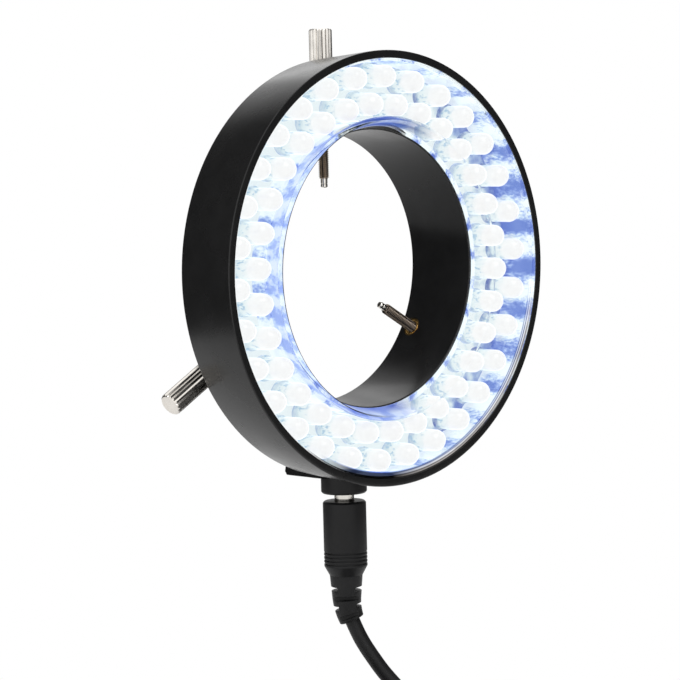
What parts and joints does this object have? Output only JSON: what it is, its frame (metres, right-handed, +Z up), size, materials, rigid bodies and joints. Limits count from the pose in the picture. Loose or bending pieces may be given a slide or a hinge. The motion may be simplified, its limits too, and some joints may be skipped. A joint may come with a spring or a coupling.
{
  "type": "microscope ring light",
  "caption": "Black LED ring light with a clear cover, thumbscrews in its rear collar that clamp a microscope head, and a plug-in power cord.",
  "frame": {"origin": "on the ring's axis, in the plane of the three thumbscrews, at the middle of the clamped bore", "axes": "+Y out of the rear face along the bore, the LEDs face -Y, +Z up, the power socket points down"},
  "size_m": [0.0984, 0.0552, 0.172],
  "materials": {
    "black_plastic": "satin",
    "clear_plastic": "clear",
    "led_epoxy": "clear, lit",
    "board_laminate": "satin",
    "resistor_ceramic": "matte",
    "red_wire_skin": "satin",
    "black_wire_skin": "satin",
    "socket_plastic": "satin",
    "contact_brass": "polished",
    "contact_spring": "satin",
    "insert_brass": "turned",
    "nickel": "nickel plated",
    "plug_rubber": "satin",
    "cord_rubber": "satin",
    "strap_cloth": "woven"
  },
  "bodies": {
    "ring": {"housing": "black_plastic", "clear_cover": "clear_plastic", "led_board": "board_laminate", "leds_inner": "led_epoxy", "leds_outer": "led_epoxy", "board_resistors": "resistor_ceramic", "wire_red": "red_wire_skin", "wire_black": "black_wire_skin", "jack_body": "socket_plastic", "jack_pin": "contact_brass", "jack_contact": "contact_spring", "insert_top": "insert_brass", "insert_left": "insert_brass", "insert_right": "insert_brass", "cord_coil": "cord_rubber", "cord_tie": "strap_cloth", "cord_tail": "cord_rubber", "far_barrel": "nickel", "far_insulator": "socket_plastic", "far_contact": "contact_brass", "far_body": "plug_rubber", "far_relief": "plug_rubber"},
    "plug": {"plug_barrel": "nickel", "plug_insulator": "socket_plastic", "plug_contact": "contact_brass", "plug_body": "plug_rubber", "plug_relief": "plug_rubber", "cord_lead": "cord_rubber"},
    "tip_top_body": {"tip_top": "nickel"},
    "screw_top_body": {"knob_top": "nickel", "stud_top": "nickel"},
    "tip_left_body": {"tip_left": "nickel"},
    "screw_left_body": {"knob_left": "nickel", "stud_left": "nickel"},
    "tip_right_body": {"tip_right": "nickel"},
    "screw_right_body": {"knob_right": "nickel", "stud_right": "nickel"}
  },
  "joints": [
    {"name": "plug_slide", "type": "slide", "parent": "ring", "child": "plug", "axis": [0, 0, 1], "range_m": [-0.0075, 0.0016], "deforming": ["cord_lead"]},
    {"name": "screw_top_slide", "type": "slide", "parent": "ring", "child": "tip_top_body", "axis": [0, 0, 1], "range_m": [-0.0008, 0.01305]},
    {"name": "screw_top_turn", "type": "hinge", "parent": "tip_top_body", "child": "screw_top_body", "pos_m": [0, 0, 0.0405], "axis": [0, 0, 1], "range_deg": [-640, 10440]},
    {"name": "screw_left_slide", "type": "slide", "parent": "ring", "child": "tip_left_body", "axis": [-0.866, 0, -0.5], "range_m": [-0.0018, 0.01205]},
    {"name": "screw_left_turn", "type": "hinge", "parent": "tip_left_body", "child": "screw_left_body", "pos_m": [-0.03594, 0, -0.02075], "axis": [-0.866, 0, -0.5], "range_deg": [-1440, 9640]},
    {"name": "screw_right_slide", "type": "slide", "parent": "ring", "child": "tip_right_body", "axis": [0.866, 0, -0.5], "range_m": [-0.0018, 0.01205]},
    {"name": "screw_right_turn", "type": "hinge", "parent": "tip_right_body", "child": "screw_right_body", "pos_m": [0.03594, 0, -0.02075], "axis": [0.866, 0, -0.5], "range_deg": [-1440, 9640]}
  ],
  "couplings": [
    {"joint": "screw_top_turn", "follows": "screw_top_slide", "rad_per_m": 13963},
    {"joint": "screw_left_turn", "follows": "screw_left_slide", "rad_per_m": 13963},
    {"joint": "screw_right_turn", "follows": "screw_right_slide", "rad_per_m": 13963}
  ]
}
